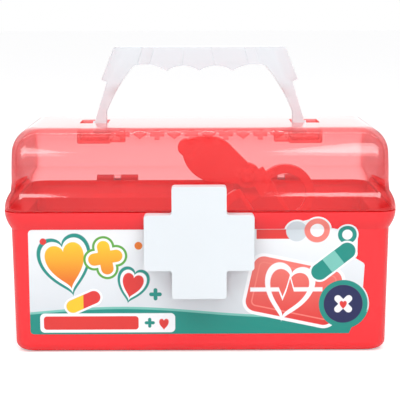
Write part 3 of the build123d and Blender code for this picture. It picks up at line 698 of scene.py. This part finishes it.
def half_thickness(x, z):
    """Half the handle's thickness: full at the grip, thinner from its end facets down to the legs."""
    for top, low, sunk in facets:
        if abs(off_line(x, z, top, low)) < on_line:
            return grip_thick - sunk - groove_deep
    left = -off_line(x, z, *facets[0][:2]), off_line(x, z, *shoulders[0]), facets[0][2]
    right = off_line(x, z, *facets[-1][:2]), -off_line(x, z, *shoulders[1]), facets[-1][2]
    for inner, outer, sunk in (left, right):
        if inner > 0:
            taper = min(1.0, inner / (inner + max(outer, 0.0)))
            flange = flange_thick - leg_thick if outer < -1.0 and z > leg_head + 0.5 else 0.0
            thick = grip_thick - sunk + (leg_thick - grip_thick + sunk) * taper + flange
            return min(thick, leg_thick + max(0.0, z - thin_foot) * thin_slope)
    spans = [(off_line(x, z, top, low), sunk) for top, low, sunk in facets]
    before = max((s for s in spans if s[0] >= 0), key=lambda s: -s[0])
    after = min((s for s in spans if s[0] < 0), key=lambda s: -s[0])
    share = before[0] / (before[0] - after[0])
    return grip_thick - (before[1] + (after[1] - before[1]) * share)


def draw_handle(work):
    """The outline, cut along its facet lines and across its legs, and given its thickness."""
    work.faces.new([work.verts.new((x * mm, 0, z * mm)) for x, z in handle_outline])
    ends = [[tuple(a + (b - a) * share for a, b in zip(*points)) for points in zip(inner[:2], outer)]
            for inner, outer in ((facets[0], shoulders[0]), (facets[-1], shoulders[1]))
            for share in (0.2, 0.4, 0.6, 0.8, 1.0)]
    sides = [[(x + shift, z) for x, z in line[:2]]
             for line in facets for shift in (-groove_half, groove_half)]
    across_legs = [((-1.0, z), (1.0, z)) for z in range(152, 185, 4)]
    for top, low in [line[:2] for line in facets] + sides + ends + across_legs:
        run = Vector((low[0] - top[0], 0, low[1] - top[1]))
        bmesh.ops.bisect_plane(work, geom=work.verts[:] + work.edges[:] + work.faces[:], dist=0.001 * mm,
                               plane_co=Vector((top[0], 0, top[1])) * mm,
                               plane_no=run.cross(Vector((0, 1, 0))).normalized())
    fronts = list(work.verts)
    backs = [g for g in bmesh.ops.extrude_face_region(work, geom=work.faces[:])["geom"]
             if isinstance(g, bmesh.types.BMVert)]
    for side, verts in ((-1, fronts), (1, backs)):
        for v in verts:
            v.co.y = side * half_thickness(v.co.x / mm, v.co.z / mm) * mm
    bmesh.ops.recalc_face_normals(work, faces=work.faces)
    bmesh.ops.triangulate(work, faces=work.faces)


handle = drawn("carrying_handle", draw_handle)
hub, stub, stub_long, stub_root = 4.6, 2.8, 9.0, 70.0
cut_or_join(handle, "UNION", *both_sides(rod, leg_in, leg_out, 0.0, stub_z, hub))
cut_or_join(handle, "UNION", *both_sides(rod, leg_in - stub_long, stub_root, 0.0, stub_z, stub))
finished(rounded(handle, 0.7, sharp=60.0), "handle", "handle", "white_plastic", white)

# ---- Cross latch ----------------------------------------------------------------------------
# A hollow white moulding on a steel pin. It swings down to free the lid, and a nib behind its top
# snaps over the lid's catch.


def cad_copy(name, node):
    """A copy of a CAD node, with the flat faces that it is split into made whole."""
    def draw(work):
        work.from_mesh(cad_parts[node].data)
        bmesh.ops.remove_doubles(work, verts=work.verts, dist=0.001 * mm)
        bmesh.ops.dissolve_limit(work, angle_limit=radians(0.6), verts=work.verts, edges=work.edges)
    return drawn(name, draw)


# The walls of the cross stand a little closer together and to the left of their CAD places. Its
# ribs, between them, turn on the pin and stay in line with the ears.
cross_narrower, cross_left, ribs_reach = 0.969, 0.9, 16.1
cross = cad_copy("cross_cover", "cross_latch")
for v in cross.data.vertices:
    if abs(v.co.x) > ribs_reach * mm:
        v.co.x = v.co.x * cross_narrower - cross_left * mm
finished(rounded(cross, 0.7), "latch", "cross_latch", "white_plastic", white)

# ---- Label ----------------------------------------------------------------------------------
# A die-cut paper sticker with a gloss print, laid on the tub's front and up over its flare. A window
# in it lets the tub's latch ears through, behind the cross.

label_thick, label_sunk, bend_pitch, bends = 0.3, 0.04, 1.5, 7
label_left, label_low, label_high, label_round = -113.7, 12.8, 83.9, 2.5
left_lobe, middle_lobe, right_lobe, round_end = (63.5, 82.6), (77.0, 83.2), (97.0, 80.0), (95.0, 33.0)
window_half, window_front, window_back, window_low, window_high = 16.5, -76.0, -66.0, 42.6, 52.8
flare_foot = tub_top - flare_height


def label_outline():
    """The die-cut outline in X and Z, with three lobes at its upper right and a round end below them."""
    corner_x = label_left + label_round
    return (arc(corner_x, label_low + label_round, label_round, 270, 180, 4)
            + arc(corner_x, label_high - label_round, label_round, 180, 90, 4)
            + [(53.0, label_high)] + arc(*left_lobe, 8.2, 170, 62, 10)
            + arc(*middle_lobe, 9.6, 128, 8, 12) + arc(*right_lobe, 7.4, 150, -20, 14)
            + arc(100.0, 67.2, 4.0, 20, -50, 4) + arc(106.3, 59.0, 2.5, 60, 0, 4)
            + arc(*round_end, 17.2, 41, -70, 18) + [(99.0, label_low)])


def front_of_tub(z):
    """How far in front of the middle the tub's front wall stands at height z."""
    if z > flare_foot:
        return rim_depth / 2 - flare_out * ((tub_top - z) / flare_height) ** 2
    return outer_wall - tub_lean * (flare_foot - z) / tub_straight


def lay_label(work):
    """The outline, bent along level lines over the flare, as a sheet with a front and a back."""
    face = work.faces.new([work.verts.new((x * mm, 0, z * mm)) for x, z in label_outline()])
    face.normal_update()
    bmesh.ops.triangulate(work, faces=[face])
    for z in [flare_foot + bend_pitch * step for step in range(bends)]:
        bmesh.ops.bisect_plane(work, geom=work.verts[:] + work.edges[:] + work.faces[:], dist=0.001 * mm,
                               plane_co=(0, 0, z * mm), plane_no=(0, 0, 1))
    back = bmesh.ops.duplicate(work, geom=work.faces[:])
    front = set(work.verts) - {g for g in back["geom"] if isinstance(g, bmesh.types.BMVert)}
    rim_front = [e for e in work.edges if e.is_boundary and e.verts[0] in front]
    rim_back = [back["edge_map"][e] for e in rim_front]
    for v in work.verts:
        proud = label_thick - label_sunk if v in front else -label_sunk
        v.co.y = -front_of_tub(v.co.z / mm) * mm - proud * mm
    bmesh.ops.bridge_loops(work, edges=rim_front + rim_back)
    bmesh.ops.recalc_face_normals(work, faces=work.faces)


label = drawn("front_label_print", lay_label)
cut_or_join(label, "DIFFERENCE",
            block(-window_half, window_half, window_front, window_back, window_low, window_high))

# The print is a plain design of medical motifs. Each motif is a distance from its edge, less than
# nothing inside it, and is laid on the ones before it.
label_print, paint = shader("label print")
label_spot = paint.node("ShaderNodeTexCoord", out="Object")
across, _, up = [part * (1 / mm) for part in label_spot.parts()]


def local(at, turn=0.0):
    """Places on the label seen from a point and turned, in degrees."""
    x, z = across - at[0], up - at[1]
    return x * cos(radians(turn)) + z * sin(radians(turn)), z * cos(radians(turn)) - x * sin(radians(turn))


def disc(at, radius):
    """A round spot."""
    x, z = local(at)
    return (x * x + z * z).math("SQRT") - radius


def bar(at, half_long, half_wide, turn=0.0):
    """A strip with round ends."""
    x, z = local(at, turn)
    beyond = (abs(x) - (half_long - half_wide)).most(0.0)
    return (beyond * beyond + z * z).math("SQRT") - half_wide


def tile(at, half_x, half_z, bend, turn=0.0):
    """A rectangle with rounded corners."""
    x, z = local(at, turn)
    out_x, out_z = (abs(x) - (half_x - bend)).most(0.0), (abs(z) - (half_z - bend)).most(0.0)
    return (out_x * out_x + out_z * out_z).math("SQRT") - bend


def plus_sign(at, arm, half_wide, turn=0.0):
    """Two crossed strips."""
    return bar(at, arm, half_wide, turn).least(bar(at, arm, half_wide, turn + 90))


def heart_sign(at, size, turn=0.0):
    """A heart with its point down."""
    x, z = local(at, turn)
    lift = z / size - (abs(x) / size).math("SQRT") * 0.8
    return ((x * x / size ** 2 + lift * lift).math("SQRT") - 1.0) * (size * 0.7)


def pulse_line(at, half_long, high, half_wide):
    """A heartbeat trace: a level line with one tall zigzag at its middle."""
    x, z = local(at)
    peak = (1 - abs(x / 5.0 - 0.5) * 2.0).most(0.0) * high
    trough = (1 - abs(x / 5.0 + 0.5) * 2.0).most(0.0) * (high * 0.7)
    return (abs(z - (peak - trough)) * 0.5 - half_wide).most(abs(x) - half_long)


cream, mist, snow, navy = ink(238, 241, 244), ink(205, 214, 220), ink(246, 247, 250), ink(24, 32, 84)
teal, sea, leaf, sun = ink(10, 140, 128), ink(120, 196, 184), ink(92, 166, 60), ink(246, 200, 40)
amber, coral, rose = ink(232, 120, 30), ink(222, 52, 48), ink(240, 128, 118)
ground = paint.blend((up / 84.0).clipped(), mist, cream)
wave = up - 27.0 + (across * (1 / 34.0)).math("SINE") * 3.0
sun_fade = paint.blend(((up - 50.0) / 26.0).clipped(), amber, sun)
coral_fade = paint.blend(((up - 20.0) / 50.0).clipped(), coral, rose)
big_heart, small_heart = heart_sign((-88.0, 56.0), 13.0, 12.0), heart_sign((-46.0, 44.0), 7.0, -14.0)
first_plus = plus_sign((-63.0, 65.0), 11.5, 4.2, 10.0)
patch = tile((62.0, 42.0), 30.0, 19.0, 7.0, -12.0)
pill = bar((-78.0, 35.0), 12.0, 4.4, 24.0)
plaster = bar((88.0, 62.0), 17.0, 5.6, 38.0)
for distance, colour in (
        (wave - 1.6, sea), (wave, teal),
        (big_heart - 3.4, teal), (big_heart - 1.8, snow), (big_heart, sun_fade),
        (first_plus - 3.2, leaf), (first_plus - 1.6, snow), (first_plus, sun_fade),
        (small_heart - 2.6, teal), (small_heart - 1.3, snow), (small_heart, coral),
        (pill - 1.4, snow), (pill, coral), (pill.most(across + 78.0), sun),
        (bar((-28.0, 62.0), 5.0, 1.2, 90.0), teal), (plus_sign((-30.0, 40.0), 4.2, 1.3), teal),
        (disc((-41.0, 73.0), 2.6), amber), (disc((-104.0, 76.0), 2.2), coral),
        (disc((-33.0, 75.5), 1.5), sea),
        (tile((-62.0, 20.5), 45.0, 6.6, 3.0), snow), (tile((-73.0, 20.5), 31.6, 4.6, 2.2), coral),
        (plus_sign((-34.0, 20.5), 3.4, 1.1), teal), (heart_sign((-24.5, 18.6), 3.2), coral),
        (tile((50.0, 80.5), 13.0, 3.2, 0.4), coral),
        (disc(left_lobe, 7.0), mist), (disc(middle_lobe, 8.4), coral_fade), (disc(right_lobe, 6.2), teal),
        (disc(right_lobe, 3.4), snow), (disc(middle_lobe, 4.6), snow),
        (patch - 2.2, snow), (patch, coral_fade), (abs(patch + 4.0) - 0.45, rose),
        (abs(heart_sign((57.0, 37.0), 14.0, -12.0) - 0.6) - 1.3, snow),
        (pulse_line((57.0, 43.0), 24.0, 9.0, 0.7), snow),
        (plaster - 1.3, snow), (plaster, teal), (tile((88.0, 62.0), 5.0, 5.6, 0.6, 38.0), sea),
        (abs(disc(round_end, 14.6)) - 1.7, teal), (disc(round_end, 13.0), navy),
        (plus_sign(round_end, 7.4, 2.3, 45.0), snow), (heart_sign((95.0, 31.6), 2.4), coral)):
    ground = paint.blend((0.5 - distance * 3.0).clipped(), ground, colour)
fleck = paint.node("ShaderNodeTexNoise", values={
    "Vector": label_spot, "Scale": 160.0, "Detail": 4.0, "Roughness": 0.6})
fibre = paint.node("ShaderNodeTexNoise", values={"Vector": label_spot, "Scale": 700.0, "Detail": 2.0})
faded = paint.node("ShaderNodeMix", {"data_type": "RGBA", "blend_type": "MULTIPLY"},
                   {0: 1.0, 6: ground, 7: paint.blend(fleck, ink(253, 253, 253), ink(255, 255, 255))}, 2)
relief = paint.node("ShaderNodeBump", values={"Strength": 0.15, "Distance": 0.02 * mm, "Height": fibre})
finish_with(paint.node("ShaderNodeBsdfPrincipled", values={
    "Base Color": faded, "Roughness": 0.26 + fleck * 0.06, "IOR": 1.5, "Normal": relief}))
finished(smoothed(label, 12.0), "base", "front_label", "label_print", label_print)

# ---- Tray and instruments -------------------------------------------------------------------
# A red tray with collared holes, and the toy instruments that stand in them: scissors, hammer,
# otoscope, thermometer and mirror, each a plain moulding in one or two colours.

# The tray's and the scissors' red is painted a little brighter than the tub's: painted light, for the light
# that the lid keeps from the inside
scissors_red_painted_lit = opaque_plastic("scissors plastic", (0.98, 0.020, 0.022, 1.0), gloss=0.22)
tray_red_painted_lit = opaque_plastic("tray plastic", (0.98, 0.021, 0.026, 1.0), gloss=0.22)
yellow = opaque_plastic("yellow plastic", (0.90, 0.52, 0.02, 1.0), gloss=0.24)
blue = opaque_plastic("blue plastic", (0.02, 0.12, 0.50, 1.0), gloss=0.24)
for name, node, body, slot, plastic, edge in (
        ("instrument_tray", "tool_tray", "base", "tray_plastic", tray_red_painted_lit, 0.4),
        ("scissors_front_half", "scissors_half_front", "scissors_front", "scissors_plastic",
         scissors_red_painted_lit, 1.0),
        ("scissors_rear_half", "scissors_half_rear", "base", "scissors_plastic", scissors_red_painted_lit, 1.0),
        ("scissors_rivet_cap", "scissors_rivet", "base", "scissors_plastic", scissors_red_painted_lit, 0.4),
        ("hammer_grip", "hammer_handle", "base", "yellow_plastic", yellow, 0.4),
        ("hammer_soft_head", "hammer_head", "base", "blue_plastic", blue, 0.5),
        ("otoscope_grip", "otoscope_body", "base", "blue_plastic", blue, 0.4),
        ("otoscope_ear_cone", "otoscope_cone", "base", "yellow_plastic", yellow, 0.3),
        ("thermometer_case", "thermometer_body", "base", "yellow_plastic", yellow, 0.3),
        ("mirror_holder", "mirror_frame", "base", "blue_plastic", blue, 0.5)):
    finished(rounded(cad_copy(name, node), edge), body, node, slot, plastic)


def dial_print():
    """Card with a fine and a long row of marks at each side of a red column on its bulb."""
    made, start = shader("printed dial card")
    card = [v.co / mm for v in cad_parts["thermometer_dial"].data.vertices]
    middle = (min(c[0] for c in card) + max(c[0] for c in card)) / 2
    low, high = min(c[2] for c in card), max(c[2] for c in card)
    column_half, bulb, bulb_high, reading = 0.55, 1.5, 3.6, 0.62 * (high - low)
    scale_low, scale_high, fine_step, long_step, mark = 6.5, high - low - 2.5, 1.2, 6.0, 0.35
    spot = start.node("ShaderNodeTexCoord", out="Object")
    across, _, height = spot.parts()
    across, height = abs(across / mm - middle), height / mm - low
    on_scale = (height > scale_low) * (height < scale_high) * (across > 1.3)
    fine_marks = on_scale * ((height - scale_low) % fine_step < mark) * (across < 2.6)
    long_marks = on_scale * ((height - scale_low) % long_step < mark) * (across < 4.0)
    column = (across < column_half) * (height < reading) * (height > bulb_high)
    bulb_spot = (across * across + (height - bulb_high) * (height - bulb_high)) < bulb * bulb
    mottle = start.node("ShaderNodeTexNoise", values={"Vector": spot, "Scale": 700.0, "Detail": 3.0})
    card_white = start.blend(mottle, ink(236, 234, 226), ink(250, 249, 243))
    printed = start.blend(fine_marks.most(long_marks), card_white, ink(40, 52, 66))
    printed = start.blend(column.most(bulb_spot), printed, ink(214, 40, 52))
    grain = start.node("ShaderNodeBump", values={"Strength": 0.2, "Distance": 0.01 * mm, "Height": mottle})
    finish_with(start.node("ShaderNodeBsdfPrincipled", values={
        "Base Color": printed, "Roughness": 0.42 + mottle * 0.15, "Normal": grain}))
    return made


def mirror_foil():
    """Silver foil, a little wavy, with dust on it."""
    made, start = shader("mirror foil")
    spot = start.node("ShaderNodeTexCoord", out="Object")
    ripple = start.node("ShaderNodeTexNoise", values={"Vector": spot, "Scale": 110.0, "Detail": 2.0})
    dust = start.node("ShaderNodeTexNoise", values={"Vector": spot, "Scale": 1200.0, "Detail": 4.0})
    silver = start.blend(ripple, ink(214, 219, 224), ink(238, 240, 243))
    wavy = start.node("ShaderNodeBump", values={"Strength": 0.4, "Distance": 0.05 * mm, "Height": ripple})
    finish_with(start.node("ShaderNodeBsdfPrincipled", values={
        "Base Color": silver, "Metallic": 1.0, "Roughness": 0.05 + dust * 0.10, "Normal": wavy}))
    return made


def dressed(name, look):
    """Gives a CAD node its finish."""
    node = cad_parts[name]
    node.data.materials.clear()
    node.data.materials.append(look)


dressed("thermometer_dial", dial_print())
dressed("mirror_glass", mirror_foil())

# ---- Steel pins -----------------------------------------------------------------------------
# Drawn steel pins, cut to length and pressed in. Two carry the lid's knuckles at the back, and one
# carries the cross latch between the tub's ears.


def drawn_steel():
    """Bright steel with fine marks along the pin, a little dulled in places."""
    made, start = shader("drawn steel")
    spot = start.node("ShaderNodeTexCoord", out="Object")
    along_pin = start.node("ShaderNodeVectorMath", {"operation": "MULTIPLY"},
                           {0: spot, 1: (60.0, 2400.0, 2400.0)})
    draw_marks = start.node("ShaderNodeTexNoise", values={"Vector": along_pin, "Scale": 1.0, "Detail": 2.0})
    dulled = start.node("ShaderNodeTexNoise", values={"Vector": spot, "Scale": 300.0, "Detail": 3.0})
    bright = start.blend(dulled, ink(176, 178, 182), ink(208, 210, 214))
    scored = start.node("ShaderNodeBump", values={
        "Strength": 0.3, "Distance": 0.01 * mm, "Height": draw_marks})
    finish_with(start.node("ShaderNodeBsdfPrincipled", values={
        "Base Color": bright, "Metallic": 1.0, "Roughness": 0.2 + draw_marks * 0.15 + dulled * 0.1,
        "Normal": scored}))
    return made


steel = drawn_steel()
for name in ("hinge_pin_left", "hinge_pin_right", "latch_pin"):
    dressed(name, steel)
